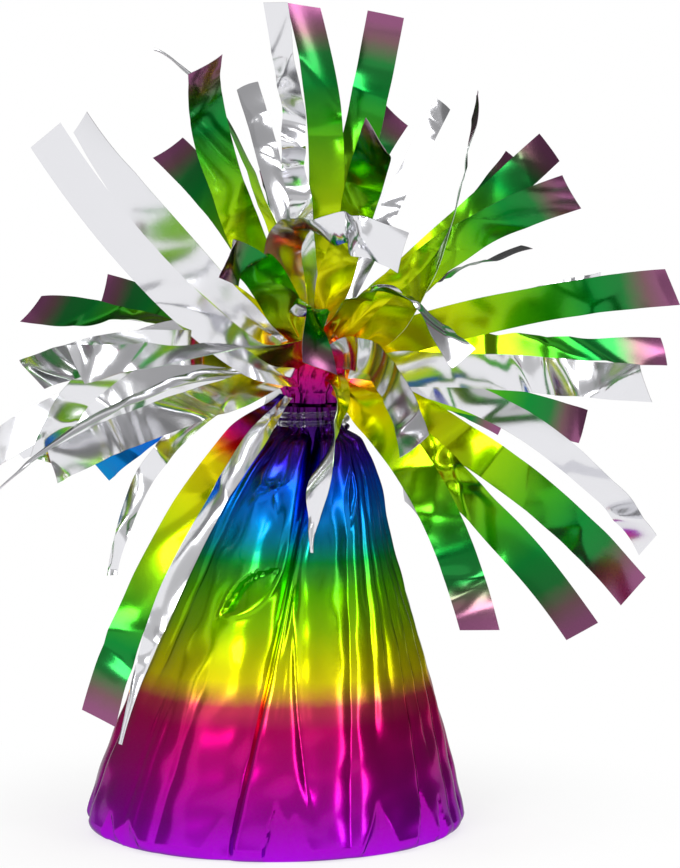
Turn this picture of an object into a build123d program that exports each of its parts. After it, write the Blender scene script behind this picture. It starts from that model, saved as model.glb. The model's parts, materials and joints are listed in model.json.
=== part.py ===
from build123d import *
import math
import os

# Foil balloon weight: a ballast cone wrapped in metallised film. The film is gathered by a tie
# above the cone, and its margin beyond the tie is cut into a fringe of curling strips.
# Millimetres and degrees. +Z is up, and the origin is the centre of the foot on the floor.
# Azimuth 0 is +X, 90 is +Y (the back) and 270 is the front.

# Wrap: the pleated skirt of film around the ballast
BASE_RADIUS = 32.5
EDGE_ROUND = 3.0
SKIRT_HEIGHT = 66.5
SKIRT_TOP_RADIUS = 7.4
SKIRT_BULGE = 1.3
FILM_WALL = 0.4
HEM_WIDTH = 9.0
PLEAT_DEPTH_FOOT = 0.4
PLEAT_DEPTH_TOP = 1.0
PLEAT_TWIST = 18.0
# Each pleat: the azimuth of its valley at the foot, and its depth as a share of the usual one
PLEATS = [
    (10, 1.0), (32, 0.8), (55, 1.1), (80, 0.9), (105, 1.2), (130, 0.8), (152, 1.1), (172, 0.9),
    (192, 1.0), (215, 1.2), (237, 0.8), (256, 1.7), (284, 1.5), (305, 0.9), (324, 1.2),
    (337, 0.8), (350, 1.1),
]
SKIRT_SHARES = (0.14, 0.32, 0.5, 0.68, 0.85, 1.0)

# Neck: the gathered throat under the tie, off centre as the film was pulled
NECK_RADIUS = 5.1
NECK_OFFSET = 6.5
NECK_STEP = 1.4
NECK_LENGTH = 4.6
NECK_FLUTE = 0.35

# Tie: one clear cord wound round the neck
TIE_DIAMETER = 1.0
TIE_TURNS = 2
TIE_PITCH = 1.45
TIE_CLEARANCE = 0.3
TIE_TAIL = TIE_DIAMETER

# Core: a board disc that closes an upturned cup full of ballast
DISC_THICKNESS = 1.5
DISC_CLEARANCE = 0.4
HEM_CLEARANCE = 0.3
CUP_HEADROOM = 16.6
CUP_CLEARANCE = 0.3
CUP_WALL = 1.0
CUP_RIM_INSET = 0.4
FILL_CLEARANCE = 0.15

# Bunch: the knot of gathered film above the tie, with its stem down in the neck
BUNCH_RADIUS = 6.8
BUNCH_RISE = 6.3
STEM_RADIUS = 3.6
STEM_LENGTH = 10.0

# Fringe: strips of equal width and like length, drawn in where they leave the bunch
STRIP_LENGTH = 56.0
STRIP_WIDTH = 6.5
STRIP_ROOT_WIDTH = 1.6
STRIP_TAPER = 15.0
STRIP_THICKNESS = 0.3
STRIP_CLEARANCE = 0.25
SPANS_PER_STRIP = 10
STEPS_PER_SPAN = 6

# Each strip: azimuth and elevation of its direction at the root, the same at the tip, how late
# it bends (1 is evenly), the roll of its coloured side at the root and at the tip, and its
# length as a share of the usual one
FRINGE = [
    # standing strips
    (248, 80, 238, 75, 1, -30, -20, 1),
    (40, 82, 150, 73, 1, -40, 40, 1),
    (62, 68, 24, 78, 1, -30, -60, 1),
    (150, 70, 186, 20, 4, 40, 230, 1),
    (208, 60, 276, 48, 1, 120, 170, 1),
    (110, 62, 104, 34, 1, 205, 195, 1),
    (300, 66, 268, 12, 1, -140, -140, 1),
    (80, 52, 62, 31, 1, -20, -35, 1),
    (54, 50, 64, 38, 1, 140, 130, 1),
    (326, 24, 300, 88, 1, -92, -50, 1),
    (34, 32, 60, 34, 1, -65, -65, 1),
    (20, 42, 50, 28, 1, -60, -60, 1),
    (344, 46, 324, 16, 1, -95, -110, 0.9),
    # strips to the right
    (56, 22, 42, 10, 1, 0, 10, 1),
    (34, 12, 36, 8, 1, 120, 100, 1),
    (350, 20, 350, 5, 1, -90, -90, 1),
    (12, 8, 14, -6, 1, -20, -60, 1),
    (332, 2, 324, -2, 1, 90, 90, 1),
    (60, -4, 48, -24, 1, -80, -100, 1),
    (38, -10, 36, -16, 1, -90, -95, 1),
    (358, -4, 358, -58, 1, 95, 80, 1.08),
    (342, -20, 342, -48, 1, -75, -80, 1.08),
    (322, -26, 334, -52, 1, -60, -70, 1.08),
    (308, -20, 300, -64, 1, -50, -40, 1),
    (292, 16, 282, -40, 1, 60, 150, 0.9),
    (298, -4, 210, -90, 1, -60, 40, 0.82),
    # strips to the left
    (206, -40, 206, -74, 1, 55, 60, 1.14),
    (230, -40, 222, -72, 1, 230, 250, 1.2),
    (194, -14, 212, -82, 1, 285, 300, 0.82),
    (210, 2, 208, -40, 1, 190, 200, 1),
    (226, -8, 232, -14, 1, 250, 250, 1),
    (134, -10, 128, -34, 1, 90, 100, 1),
    (152, -8, 154, -24, 1, 90, 100, 1),
    (188, 26, 220, -72, 1, 250, 270, 0.9),
    (258, 14, 198, -8, 1, 110, 250, 1),
    (246, -8, 192, 57, 0.3, 250, 275, 1.12),
    (204, 30, 196, 52, 1, 280, 280, 0.88),
    (118, 44, 124, 24, 1, 50, 50, 1),
    (138, 30, 132, 18, 1, 75, 85, 1),
    (130, 12, 126, 6, 1, 70, 70, 1),
    (152, 14, 136, -2, 1, 20, 30, 1),
    (217, 14, 234, -12, 1, 260, 260, 1),
    # strips to the front
    (274, 56, 272, -64, 1, 0, 0, 0.9),
    (98, 42, 96, 16, 1, 0, 0, 1),
    (250, 40, 264, 4, 1, 150, 130, 0.7),
    (238, 62, 338, -26, 1, -70, 110, 1),
    (300, 46, 318, -46, 1, 180, 180, 0.72),
    # strips to the back
    (178, 2, 178, -40, 1, 40, 60, 1),
    (92, 22, 92, 0, 1, 0, 10, 1),
    (100, -8, 100, -40, 1, 0, 0, 1),
    (80, -34, 84, -62, 1, 0, 0, 1),
    (118, -34, 118, -64, 1, 0, 0, 1),
    (140, -42, 130, -76, 1, 0, 0, 1),
    (64, -20, 78, -42, 1, -60, -60, 1),
]

# Heights that follow from the sizes above
SKIRT_RISE = SKIRT_HEIGHT - EDGE_ROUND
NECK_BOTTOM = SKIRT_HEIGHT + NECK_STEP
NECK_TOP = NECK_BOTTOM + NECK_LENGTH
DISC_BOTTOM = FILM_WALL
CUP_BOTTOM = DISC_BOTTOM + DISC_THICKNESS
CUP_HEIGHT = SKIRT_HEIGHT - CUP_HEADROOM - CUP_BOTTOM
BUNCH_CENTRE = Vector(NECK_OFFSET, 0, NECK_TOP + BUNCH_RISE)
DEEPEST_PLEAT = max(depth for azimuth, depth in PLEATS)
DISC_RADIUS = BASE_RADIUS - EDGE_ROUND - DEEPEST_PLEAT * PLEAT_DEPTH_FOOT - DISC_CLEARANCE
HEM_HOLE_RADIUS = DISC_RADIUS - HEM_WIDTH


def mix(start, end, share):
    """Value a share of the way from start to end."""
    return start + (end - start) * share


def skirt_radius(share):
    """Radius of the skirt's crests at a share of its rise."""
    return mix(BASE_RADIUS, SKIRT_TOP_RADIUS, share) + 4 * SKIRT_BULGE * share * (1 - share)


def pleat_depth(share):
    """Depth of a usual pleat at a share of the skirt's rise."""
    return mix(PLEAT_DEPTH_FOOT, PLEAT_DEPTH_TOP, share)


def cup_top_radius():
    """Radius at which the cup's top clears the leaning skirt all round."""
    share = (CUP_BOTTOM + CUP_HEIGHT - EDGE_ROUND) / SKIRT_RISE
    valley = skirt_radius(share) - DEEPEST_PLEAT * pleat_depth(share) - FILM_WALL
    return valley - NECK_OFFSET * share - CUP_CLEARANCE


def pleated_outline(radius, depth, turn, centre_x, height):
    """Closed ring of arcs that bulge between the pleats and meet in their valleys."""
    centre = Vector(centre_x, 0, height)

    def spot(azimuth, reach):
        angle = math.radians(azimuth)
        return centre + Vector(math.cos(angle), math.sin(angle), 0) * reach

    arcs = []
    for index, (azimuth, share) in enumerate(PLEATS):
        next_azimuth, next_share = PLEATS[(index + 1) % len(PLEATS)]
        end_azimuth = azimuth + (next_azimuth - azimuth) % 360
        start = spot(azimuth + turn, radius - depth * share)
        crest = spot((azimuth + end_azimuth) / 2 + turn, radius)
        end = spot(end_azimuth + turn, radius - depth * next_share)
        arcs.append(ThreePointArc(start, crest, end))
    return Wire(arcs)


def wrap_outlines(inset):
    """Outlines of the wrap from the floor to the neck, drawn in by inset all round."""
    outlines = []
    round_radius = EDGE_ROUND - inset
    for angle in (0, 45, 90):
        reach = BASE_RADIUS - EDGE_ROUND + round_radius * math.sin(math.radians(angle))
        height = EDGE_ROUND - round_radius * math.cos(math.radians(angle))
        outlines.append(pleated_outline(reach, PLEAT_DEPTH_FOOT, 0, 0, height))
    for share in SKIRT_SHARES:
        radius = skirt_radius(share) - inset
        height = EDGE_ROUND + SKIRT_RISE * share
        turn = PLEAT_TWIST * share
        outlines.append(pleated_outline(radius, pleat_depth(share), turn, NECK_OFFSET * share, height))
    for height in (NECK_BOTTOM, NECK_TOP):
        outlines.append(pleated_outline(NECK_RADIUS - inset, NECK_FLUTE, PLEAT_TWIST, NECK_OFFSET, height))
    return outlines


def skin_and_ends(loft):
    """Side faces of a standing loft, and the outlines of its lower and upper ends."""
    faces = loft.faces().sort_by(Axis.Z)
    return faces[1:-1], faces[0].outer_wire(), faces[-1].outer_wire()


def foil_wrap():
    """Hollow pleated skirt with a hem turned in under the disc and an open neck."""
    outside = Solid.make_loft(wrap_outlines(0), ruled=True)
    inside = Solid.make_loft(wrap_outlines(FILM_WALL), ruled=True)
    outer_skin, outer_foot, outer_top = skin_and_ends(outside)
    inner_skin, inner_foot, inner_top = skin_and_ends(inside)
    hole = Solid.make_cylinder(HEM_HOLE_RADIUS, FILM_WALL)
    hole_wall = hole.faces().filter_by(GeomType.CYLINDER)
    lower_rim, upper_rim = hole.edges().filter_by(GeomType.CIRCLE).sort_by(Axis.Z)
    hem_under = Face(outer_foot, [Wire([lower_rim])])
    hem_over = Face(inner_foot, [Wire([upper_rim])])
    neck_edge = Face(outer_top, [inner_top])
    return Solid(Shell([*outer_skin, *inner_skin, *hole_wall, hem_under, hem_over, neck_edge]))


def base_disc():
    """Round board on the hem that closes the cup, with its middle flush with the hem's underside."""
    board = Solid.make_cylinder(DISC_RADIUS, DISC_THICKNESS, Plane.XY.offset(DISC_BOTTOM))
    middle = Solid.make_cylinder(HEM_HOLE_RADIUS - HEM_CLEARANCE, DISC_BOTTOM)
    return board + middle


def ballast_cup():
    """Upturned tapered cup, open at its rim on the disc."""
    rim = DISC_RADIUS - CUP_RIM_INSET
    top = cup_top_radius()
    floor = Plane.XY.offset(CUP_BOTTOM)
    outside = Solid.make_cone(rim, top, CUP_HEIGHT, floor)
    inside = Solid.make_cone(rim - CUP_WALL, top - CUP_WALL, CUP_HEIGHT - CUP_WALL, floor)
    return outside - inside


def ballast_fill():
    """Cast ballast that fills the cup and stands on the disc."""
    drawn_in = CUP_WALL + FILL_CLEARANCE
    return Solid.make_cone(
        DISC_RADIUS - CUP_RIM_INSET - drawn_in,
        cup_top_radius() - drawn_in,
        CUP_HEIGHT - drawn_in,
        Plane.XY.offset(CUP_BOTTOM),
    )


def foil_bunch():
    """Round knot of gathered film on a stem that goes down the neck."""
    shoulder = math.sqrt(BUNCH_RADIUS**2 - STEM_RADIUS**2)
    top = Vector(0, 0, BUNCH_RADIUS)
    waist = Vector(STEM_RADIUS, 0, -shoulder)
    foot = -BUNCH_RISE - STEM_LENGTH
    edge = ThreePointArc(top, Vector(BUNCH_RADIUS, 0, 0), waist)
    stem = Polyline(waist, (STEM_RADIUS, 0, foot), (0, 0, foot), top)
    profile = Face(Wire([edge, *stem.edges()]))
    return Pos(BUNCH_CENTRE) * revolve(profile, Axis.Z)


def tie_spot(turns):
    """Point and direction on the helix of the tie after a number of turns."""
    reach = NECK_RADIUS + TIE_CLEARANCE + TIE_DIAMETER / 2
    angle = 2 * math.pi * turns
    middle = NECK_BOTTOM + (NECK_LENGTH - TIE_PITCH * TIE_TURNS) / 2
    along = Vector(-math.sin(angle) * reach, math.cos(angle) * reach, TIE_PITCH / (2 * math.pi))
    around = Vector(math.cos(angle) * reach, math.sin(angle) * reach, TIE_PITCH * turns)
    return around + Vector(NECK_OFFSET, 0, middle), along.normalized()


def biarc(start, start_way, end, end_way):
    """Two arcs that leave start along start_way, meet smoothly and reach end along end_way."""
    span = end - start
    both = start_way + end_way
    spread = 2 * (1 - start_way.dot(end_way))
    handle = (math.sqrt(span.dot(both) ** 2 + spread * span.dot(span)) - span.dot(both)) / spread
    middle = (start + start_way * handle + end - end_way * handle) * 0.5
    first = TangentArc(start, middle, tangent=start_way)
    second = TangentArc(middle, end, tangent=first % 1)
    return [first, second]


def neck_tie():
    """Cord wound round the neck, with straight ends one cord diameter long."""
    quarters = 4 * TIE_TURNS
    spots = [tie_spot(quarter / 4) for quarter in range(quarters + 1)]
    first, first_way = spots[0]
    last, last_way = spots[-1]
    path = [Line(first - first_way * TIE_TAIL, first)]
    for (start, start_way), (end, end_way) in zip(spots, spots[1:]):
        path += biarc(start, start_way, end, end_way)
    path.append(Line(last, last + last_way * TIE_TAIL))
    route = Wire(path)
    section = Plane(route @ 0, z_dir=route % 0) * Circle(TIE_DIAMETER / 2)
    print("tie length", round(route.length, 1), "least gap to itself", round(tie_gap(route), 3))
    return sweep(section, route)


def tie_gap(route):
    """Least clear gap between stretches of the cord that are over half a turn apart."""
    count = 60 * TIE_TURNS
    spots = [route @ (index / count) for index in range(count + 1)]
    half_turn = count // (2 * TIE_TURNS)
    gaps = []
    for index, spot in enumerate(spots):
        for other in spots[index + half_turn:]:
            gaps.append((other - spot).length)
    return min(gaps) - TIE_DIAMETER


def strip_heading(strip, share):
    """Direction of a strip's middle line a share of the way along, and its azimuth."""
    root_azimuth, root_elevation, tip_azimuth, tip_elevation, lateness = strip[:5]
    azimuth = math.radians(mix(root_azimuth, tip_azimuth, share**lateness))
    elevation = math.radians(mix(root_elevation, tip_elevation, share**lateness))
    level = math.cos(elevation)
    return Vector(level * math.cos(azimuth), level * math.sin(azimuth), math.sin(elevation)), azimuth


def strip_length(strip):
    """Length of a strip along its middle line."""
    return STRIP_LENGTH * strip[7]


def strip_section(strip, share, middle):
    """Thin rectangle across a strip, rolled about its heading."""
    heading, azimuth = strip_heading(strip, share)
    level_side = Vector(math.sin(azimuth), -math.cos(azimuth), 0)
    raised_side = level_side.cross(heading)
    roll = math.radians(mix(strip[5], strip[6], share))
    side = level_side * math.cos(roll) + raised_side * math.sin(roll)
    face = raised_side * math.cos(roll) - level_side * math.sin(roll)
    ease = min(share * strip_length(strip) / STRIP_TAPER, 1)
    width = mix(STRIP_ROOT_WIDTH, STRIP_WIDTH, ease * ease * (3 - 2 * ease))
    across = side * (width / 2)
    through = face * (STRIP_THICKNESS / 2)
    corners = [across + through, through - across, Vector() - across - through, across - through]
    return Wire.make_polygon([middle + corner for corner in corners])


def fringe_strip(strip):
    """Strip of film that leaves the bunch, bends from root to tip and twists as it goes."""
    heading, azimuth = strip_heading(strip, 0)
    middle = BUNCH_CENTRE + heading * (BUNCH_RADIUS + STRIP_CLEARANCE)
    steps = SPANS_PER_STRIP * STEPS_PER_SPAN
    sections = [strip_section(strip, 0, middle)]
    for step in range(1, steps + 1):
        heading, azimuth = strip_heading(strip, (step - 0.5) / steps)
        middle = middle + heading * (strip_length(strip) / steps)
        if step % STEPS_PER_SPAN == 0:
            sections.append(strip_section(strip, step / steps, middle))
    return Solid.make_loft(sections, ruled=True)


nodes = {
    "foil_wrap": foil_wrap(),
    "base_disc": base_disc(),
    "ballast_cup": ballast_cup(),
    "ballast_fill": ballast_fill(),
    "neck_tie": neck_tie(),
    "foil_bunch": foil_bunch(),
}
for number, strip in enumerate(FRINGE, start=1):
    nodes[f"fringe_strip_{number:02d}"] = fringe_strip(strip)

os.makedirs("parts", exist_ok=True)
for name, solid in nodes.items():
    export_step(solid, f"parts/{name}.step")
print(len(nodes), "nodes written")
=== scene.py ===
# %% [markdown]
# # A foil balloon weight
# A party balloon weight is a small ballast cone in a sheet of rainbow foil. The sheet is gathered and
# tied above the cone, and its margin beyond the tie is cut into a fringe of curling strips. The packed
# model already has each piece in its place. This lesson stands film surfaces, worked out with numpy,
# in for its plain solids and gives every piece its finish.

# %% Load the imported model
import json

import bpy
import numpy as np
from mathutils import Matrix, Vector


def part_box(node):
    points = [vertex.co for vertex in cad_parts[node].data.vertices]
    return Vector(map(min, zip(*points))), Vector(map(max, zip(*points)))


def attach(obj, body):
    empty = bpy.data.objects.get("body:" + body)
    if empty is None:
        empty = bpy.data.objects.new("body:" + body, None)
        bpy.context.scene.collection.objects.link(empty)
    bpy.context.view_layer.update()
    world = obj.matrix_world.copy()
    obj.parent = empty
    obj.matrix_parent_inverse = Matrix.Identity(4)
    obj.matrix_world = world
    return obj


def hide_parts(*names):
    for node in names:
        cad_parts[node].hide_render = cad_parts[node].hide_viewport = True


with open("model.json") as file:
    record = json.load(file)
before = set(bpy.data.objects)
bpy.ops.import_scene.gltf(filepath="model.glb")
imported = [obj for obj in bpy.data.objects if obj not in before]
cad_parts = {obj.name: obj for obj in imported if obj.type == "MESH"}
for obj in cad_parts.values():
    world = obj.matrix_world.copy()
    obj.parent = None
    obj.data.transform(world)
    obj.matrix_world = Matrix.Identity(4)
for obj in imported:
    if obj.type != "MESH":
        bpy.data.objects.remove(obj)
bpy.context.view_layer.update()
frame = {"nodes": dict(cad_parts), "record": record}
MM = 0.001
BODY_OF = {}
for body, members in frame["record"]["behaviour"]["bodies"].items():
    BODY_OF.update({node: body for node in members})

# %% [markdown]
# ## Camera
# The photograph looks at the weight from a little above its middle, from so far away that the round
# foot is a narrow ellipse. A long lens at 62 cm gives that ellipse. The aim point puts the foot in its
# place in the picture, so the lens needs no shift.

# %% Camera
VIEW_FROM = Vector((10.0, -620.0, 132.0)) * MM
AIM = Vector((11.2, 0.0, 67.5)) * MM
LENS = 151.5

camera = bpy.data.objects.new("camera", bpy.data.cameras.new("camera"))
camera.data.lens = LENS
camera.location = VIEW_FROM
camera.rotation_euler = (AIM - VIEW_FROM).to_track_quat("-Z", "Y").to_euler()
bpy.context.scene.collection.objects.link(camera)
bpy.context.scene.camera = camera
bpy.context.scene.view_settings.view_transform = "Standard"
print("camera", round((AIM - VIEW_FROM).length / MM), "mm from the weight")

# %% [markdown]
# ## Writing a finish as expressions
# A finish is a graph of nodes. Wired by hand, each sum takes four lines, so one small class wraps a
# socket: arithmetic on it adds Math nodes, and one method adds any other kind of node. A finish then
# reads like the formula that it is.


# %% Sockets that can be added and multiplied
class Signal:
    """A socket of a node tree. Arithmetic adds Math nodes, and node() adds any other node."""

    def __init__(self, tree, socket=None):
        self.tree = tree
        self.socket = socket

    def node(self, kind, settings=(), sockets=(), output=0):
        """Adds a node, with its settings first and then its sockets' values or links."""
        made = self.tree.nodes.new(kind)
        for name, value in dict(settings).items():
            if name == "stops":
                self.fill_ramp(made.color_ramp, value)
            else:
                setattr(made, name, value)
        for name, value in dict(sockets).items():
            if isinstance(value, Signal):
                self.tree.links.new(value.socket, made.inputs[name])
            else:
                made.inputs[name].default_value = value
        return Signal(self.tree, made.outputs[output]) if len(made.outputs) else made

    @staticmethod
    def fill_ramp(ramp, stops):
        """Gives a colour ramp these stops, each a place from 0 to 1 and a linear colour."""
        while len(ramp.elements) < len(stops):
            ramp.elements.new(1.0)
        for element, (place, colour) in zip(ramp.elements, stops):
            element.position = place
            element.color = (*colour, 1.0)

    def maths(self, operation, first, second):
        return self.node("ShaderNodeMath", {"operation": operation}, {0: first, 1: second})

    def __add__(self, other):
        return self.maths("ADD", self, other)

    def __sub__(self, other):
        return self.maths("SUBTRACT", self, other)

    def __rsub__(self, other):
        return self.maths("SUBTRACT", other, self)

    def __mul__(self, other):
        return self.maths("MULTIPLY", self, other)

    __radd__ = __add__
    __rmul__ = __mul__

    def blend(self, first, second):
        """The first colour where this is 0 and the second where it is 1."""
        settings = {"data_type": "RGBA"}
        return self.node("ShaderNodeMix", settings, {0: self, 6: first, 7: second}, output=2)


def linear(red, green, blue):
    """Linear colour of a screen colour whose channels run from 0 to 255."""
    screen = np.array([red, green, blue]) / 255
    return tuple(np.where(screen > 0.04045, ((screen + 0.055) / 1.055) ** 2.4, screen / 12.92).tolist())


def new_finish(name):
    """An empty node material, and a signal to start its graph from."""
    material = bpy.data.materials.new(name)
    material.use_nodes = True
    material.node_tree.nodes.clear()
    return material, Signal(material.node_tree)


def close_finish(start, sockets):
    """Ends a finish with one Principled shader that has these socket values and links."""
    surface = start.node("ShaderNodeBsdfPrincipled", sockets=sockets)
    start.node("ShaderNodeOutputMaterial", sockets={"Surface": surface})


print("finishes are written as expressions")

# %% [markdown]
# ## Floor, lamps and flags
# Foil shows what stands round it, so its light is built like a small studio. The floor and the
# background are white, and soft boxes stand above and in front. Five flags, to the left, the right, the
# back, the front and above, give the metal its greys, as cards do on a photographer's table. They are
# planes that only mirrors and clear pieces see. A picture of a studio round the scene would serve as
# well, but a flag can be moved or darkened by itself.

# %% Studio
FLOOR_SIZE = 4.0
FLOOR_COLOUR = (0.86, 0.86, 0.86, 1.0)
FLOOR_LIFT = 0.7
SHADOW_CORE = 0.03
SHADOW_REACH = 0.09
WHITE = (1.0, 1.0, 1.0, 1.0)
ROOM_LIGHT = (0.55, 0.55, 0.56, 1.0)
# Each lamp: place and size in metres, and power in watts; all of them face the middle of the weight
LAMPS = {
    "key_box": ((-0.55, -0.8, 0.9), (0.55, 0.4), 5.0),
    "top_box": ((0.15, -0.15, 1.15), (0.8, 0.5), 6.0),
    "right_box": ((0.8, -0.55, 0.55), (0.2, 0.7), 2.0),
}
# Each flag: centre and half extent along x, y and z in metres, and its brightness in the metal
FLAGS = {
    "left_flag": ((-0.9, 0.5, 0.5), (0.0, 0.8, 0.7), 0.34),
    "right_flag": ((0.95, 0.3, 0.5), (0.0, 1.0, 0.7), 0.2),
    "back_flag": ((0.0, 1.3, 0.5), (1.0, 0.0, 0.7), 0.14),
    "front_flag": ((0.45, -1.3, 0.86), (1.75, 0.0, 0.44), 0.58),
    "ceiling_flag": ((0.0, -0.2, 1.35), (1.3, 1.2, 0.0), 0.4),
}


def seen_directly(start):
    """1 for rays of the camera, of mirrors and of clear pieces, and 0 for light on the scene."""
    path = start.node("ShaderNodeLightPath", output="Is Camera Ray")
    mirror = start.node("ShaderNodeLightPath", output="Is Glossy Ray")
    clear = start.node("ShaderNodeLightPath", output="Is Transmission Ray")
    return path.maths("MAXIMUM", path, mirror.maths("MAXIMUM", mirror, clear))


def stage_plane(name, centre, half, material):
    """A rectangle about a centre, flat along the axis whose half extent is 0."""
    flat = half.index(0.0)
    first, second = [axis for axis in range(3) if axis != flat]
    corners = np.tile(np.array(centre, float), (4, 1))
    corners[:, first] += np.array([-1, 1, 1, -1]) * half[first]
    corners[:, second] += np.array([-1, -1, 1, 1]) * half[second]
    mesh = bpy.data.meshes.new(name)
    mesh.from_pydata(corners.tolist(), [], [(0, 1, 2, 3)])
    mesh.materials.append(material)
    plane = bpy.data.objects.new(name, mesh)
    bpy.context.scene.collection.objects.link(plane)
    return plane


floor_finish, start = new_finish("pale_floor")
matt = start.node("ShaderNodeBsdfDiffuse", sockets={"Color": FLOOR_COLOUR})
glow = start.node("ShaderNodeEmission", sockets={"Color": WHITE, "Strength": 1.0})
spot = start.node("ShaderNodeTexCoord", output="Object")
away = start.node("ShaderNodeVectorMath", {"operation": "LENGTH"}, {0: spot}, output="Value")
clean = start.node("ShaderNodeMapRange", {"interpolation_type": "SMOOTHSTEP"}, {
    "Value": away, "From Min": SHADOW_CORE, "From Max": SHADOW_REACH, "To Min": FLOOR_LIFT, "To Max": 1.0,
})
lifted = start.node("ShaderNodeMixShader", sockets={0: seen_directly(start) * clean, 1: matt, 2: glow})
start.node("ShaderNodeOutputMaterial", sockets={"Surface": lifted})
stage_plane("floor", (0.0, 0.0, 0.0), (FLOOR_SIZE, FLOOR_SIZE, 0.0), floor_finish)

for name, (centre, half, brightness) in FLAGS.items():
    flag_finish, start = new_finish(name)
    shade = start.node("ShaderNodeEmission", sockets={"Color": WHITE, "Strength": brightness})
    start.node("ShaderNodeOutputMaterial", sockets={"Surface": shade})
    flag = stage_plane(name, centre, half, flag_finish)
    flag.visible_camera = False
    flag.visible_diffuse = False
    flag.visible_shadow = False

for name, (place, size, power) in LAMPS.items():
    lamp = bpy.data.lights.new(name, "AREA")
    lamp.shape = "RECTANGLE"
    lamp.size, lamp.size_y = size
    lamp.energy = power
    stand = bpy.data.objects.new(name, lamp)
    stand.location = place
    stand.rotation_euler = (AIM - Vector(place)).to_track_quat("-Z", "Y").to_euler()
    bpy.context.scene.collection.objects.link(stand)

world = bpy.data.worlds.new("studio")
world.use_nodes = True
world.node_tree.nodes.clear()
start = Signal(world.node_tree)
sky = seen_directly(start).blend(ROOM_LIGHT, WHITE)
backdrop = start.node("ShaderNodeBackground", sockets={"Color": sky, "Strength": 1.0})
start.node("ShaderNodeOutputWorld", sockets={"Surface": backdrop})
bpy.context.scene.world = world
print("studio:", len(LAMPS), "lamps and", len(FLAGS), "flags")

# %% [markdown]
# ## Rainbow film
# The foil is clear film with a rainbow printed on one side and a layer of aluminium behind the print.
# From the front it is a coloured mirror with a satin bloom, and from the back it is bare silver. A
# metallic shader gives both: a ramp of colours runs along the film, and where the piece's own silver
# attribute is 1 the ramp gives way to bright metal. On the skirt the ramp also holds painted shade: it
# darkens the throat under the bunch. A faint grain in the bump breaks up the mirror. A picture of the
# print could be mapped on instead, but a ramp stays even however close the camera comes.

# %% Film finishes
# Each stop: height on the cone in millimetres, and the printed colour on a screen. The stops at 66.5 and
# 70 mm are the print's violet darkened into painted shade on the throat under the bunch
SKIRT_PRINT_AND_THROAT_SHADE = [
    (0.0, (178, 0, 226)), (6.0, (164, 0, 170)), (14.0, (192, 0, 134)), (21.0, (204, 4, 104)),
    (24.5, (216, 64, 88)), (26.5, (238, 180, 48)), (28.5, (246, 230, 10)), (32.0, (216, 224, 0)),
    (37.0, (156, 212, 0)), (43.0, (96, 192, 0)), (47.5, (8, 152, 60)), (51.0, (0, 130, 156)),
    # painted shade: the stops at 66.5 and 70 mm are darker than the print, as the throat under the bunch
    (55.0, (0, 122, 210)), (60.0, (0, 84, 218)), (63.5, (44, 28, 176)), (66.5, (58, 0, 116)),
    (70.0, (48, 0, 84)), (75.0, (96, 0, 96)),
]
# Each stop: distance from the tie along the film in millimetres, less than 0 on the skirt's side of it,
# and the printed colour on a screen
FRINGE_PRINT = [
    (-24.0, (0, 132, 196)), (-16.0, (0, 92, 206)), (-8.0, (52, 36, 170)), (0.0, (88, 0, 112)),
    (3.0, (176, 0, 116)), (5.5, (222, 20, 70)), (7.5, (238, 120, 24)), (10.5, (242, 222, 0)),
    (20.0, (214, 222, 0)), (32.0, (146, 202, 4)), (42.0, (64, 168, 24)), (49.0, (10, 138, 52)),
    (54.5, (36, 126, 58)), (58.5, (126, 92, 98)), (61.5, (146, 86, 124)), (66.0, (150, 88, 130)),
]
SKIRT_PRINT_TOP = SKIRT_PRINT_AND_THROAT_SHADE[-1][0]
FRINGE_PRINT_START = FRINGE_PRINT[0][0]
FRINGE_PRINT_END = FRINGE_PRINT[-1][0]
BARE_SILVER = (*linear(232, 232, 236), 1.0)
SKIRT_ROUGHNESS = 0.23
PRINT_ROUGHNESS = 0.2
SILVER_ROUGHNESS = 0.16
EDGE_TINT = (0.35, 0.35, 0.35, 1.0)
GRAIN_SCALE = 2600.0
SPECK_SCALE = 900.0
GRAIN_BUMP = 0.14
GRAIN_HEIGHT = 0.00003
PRINT_WANDER = 0.012
GLOSS_WANDER = 0.06
TOP_COAT = 0.15
TOP_COAT_ROUGHNESS = 0.06


def print_stops(stops):
    """Stops of a ramp from 0 to 1 for stops in millimetres along a print."""
    first, last = stops[0][0], stops[-1][0]
    return [((place - first) / (last - first), linear(*colour)) for place, colour in stops]


def print_place(distance):
    """Place from 0 to 1 on the fringe's print, at a distance from the tie in millimetres."""
    return (distance - FRINGE_PRINT_START) / (FRINGE_PRINT_END - FRINGE_PRINT_START)


def film_finish(start, stops, along, roughness, silver=None):
    """A metallised film: colours along the print, satin where printed and mirror bright where bare."""
    where = start.node("ShaderNodeTexCoord", output="Object")
    grain = start.node("ShaderNodeTexNoise", sockets={"Vector": where, "Scale": GRAIN_SCALE, "Detail": 3.0})
    speck = start.node("ShaderNodeTexNoise", sockets={"Vector": where, "Scale": SPECK_SCALE, "Detail": 4.0})
    wander = (speck - 0.5) * PRINT_WANDER
    colour = start.node("ShaderNodeValToRGB", {"stops": stops}, {"Fac": along + wander})
    gloss = roughness + (grain - 0.5) * GLOSS_WANDER
    if silver is not None:
        colour = silver.blend(colour, BARE_SILVER)
        gloss = gloss + silver * (SILVER_ROUGHNESS - roughness)
    texture = {"Strength": GRAIN_BUMP, "Distance": GRAIN_HEIGHT, "Height": grain + speck}
    bump = start.node("ShaderNodeBump", sockets=texture)
    close_finish(start, {
        "Base Color": colour, "Roughness": gloss, "Metallic": 1.0, "Normal": bump,
        "Coat Weight": TOP_COAT, "Coat Roughness": TOP_COAT_ROUGHNESS, "Specular Tint": EDGE_TINT,
    })


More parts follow.
